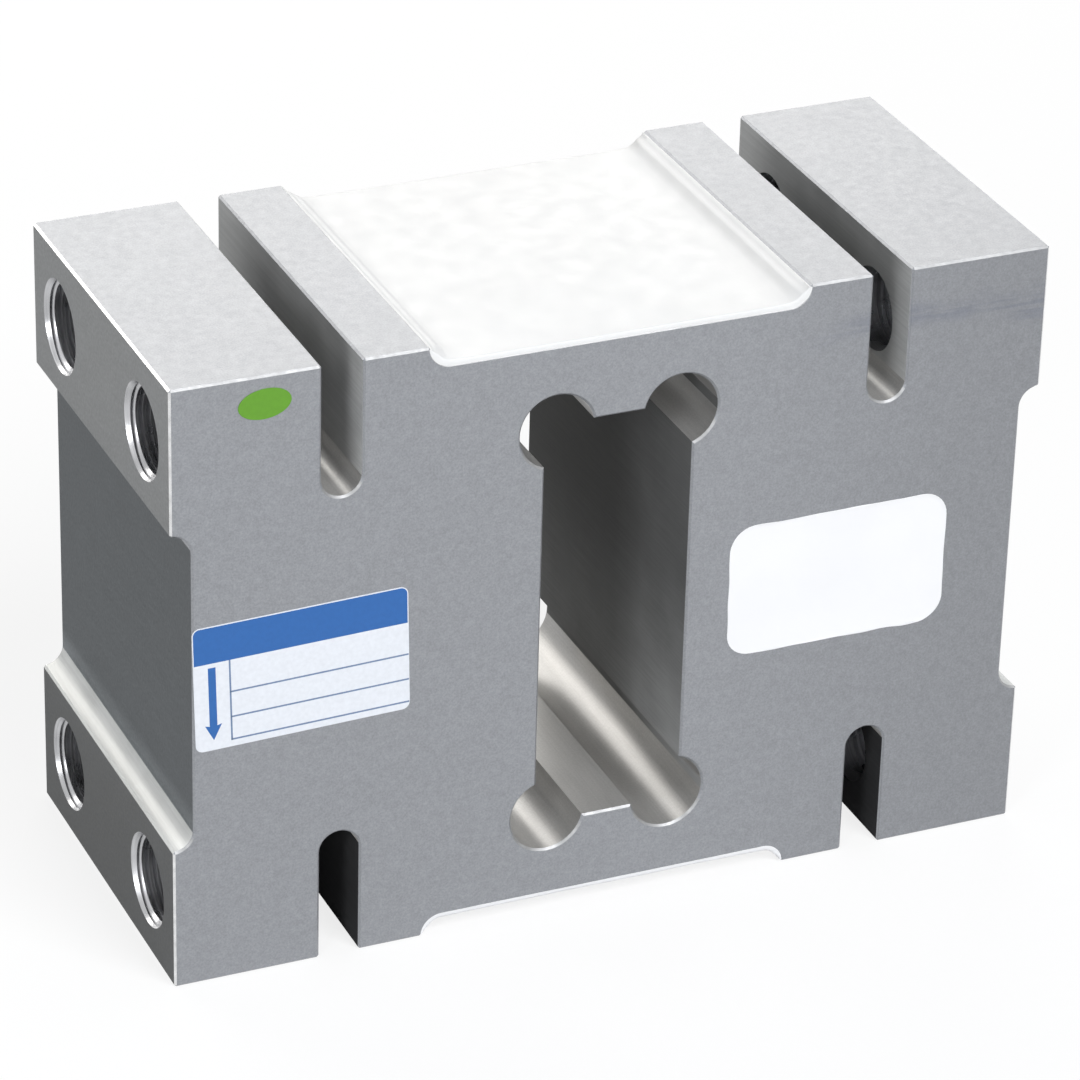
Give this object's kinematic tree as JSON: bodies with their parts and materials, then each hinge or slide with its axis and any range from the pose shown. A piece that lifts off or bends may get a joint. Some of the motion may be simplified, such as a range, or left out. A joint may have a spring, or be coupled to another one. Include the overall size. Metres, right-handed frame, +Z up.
{
  "type": "single point load cell",
  "caption": "Machined load cell block with a through window, isolation slots, silicone-coated gauge recesses, a potted side cavity and tapped mounting pads at its ends.",
  "frame": {"origin": "bottom centre of the block: the middle of its length and width, on the plane of its underside", "axes": "+X along the cell from the end beside the label to the end with the cable gland, +Y from the front face with the label and the potted cavity to the back, +Z up"},
  "size_m": [0.176, 0.0761, 0.125],
  "materials": {
    "machined_aluminium": "matt, milled and anodised clear",
    "white_silicone": "satin, spread by hand",
    "white_potting": "satin, poured",
    "gauge_foil": "polyimide film with a bonded foil grid",
    "terminal_copper": "copper foil and solder on film",
    "wire_insulation": "thin insulation",
    "circuit_board": "solder mask",
    "resistor_body": "lacquered",
    "nickel_resistor": "lacquered",
    "gland_rubber": "matt",
    "gland_metal": "nickel plated",
    "printed_label": "printed foil, white with a blue header",
    "green_sticker": "printed foil, green"
  },
  "bodies": {
    "root": {"sensing_element": "machined_aluminium", "strain_gauge_top_left": "gauge_foil", "strain_gauge_top_right": "gauge_foil", "strain_gauge_bottom_left": "gauge_foil", "strain_gauge_bottom_right": "gauge_foil", "terminal_top_left": "terminal_copper", "terminal_top_right": "terminal_copper", "terminal_bottom_left": "terminal_copper", "terminal_bottom_right": "terminal_copper", "top_lead_wires": "wire_insulation", "bottom_lead_wires": "wire_insulation", "top_silicone_coat": "white_silicone", "bottom_silicone_coat": "white_silicone", "compensation_board": "circuit_board", "side_potting": "white_potting", "zero_balance_resistor": "resistor_body", "span_set_resistor": "resistor_body", "span_temperature_resistor_upper": "nickel_resistor", "span_temperature_resistor_lower": "nickel_resistor", "gland_sleeve": "gland_rubber", "gland_washer": "gland_metal", "gland_screw": "gland_metal", "front_label": "printed_label", "oval_sticker": "green_sticker"}
  },
  "joints": []
}
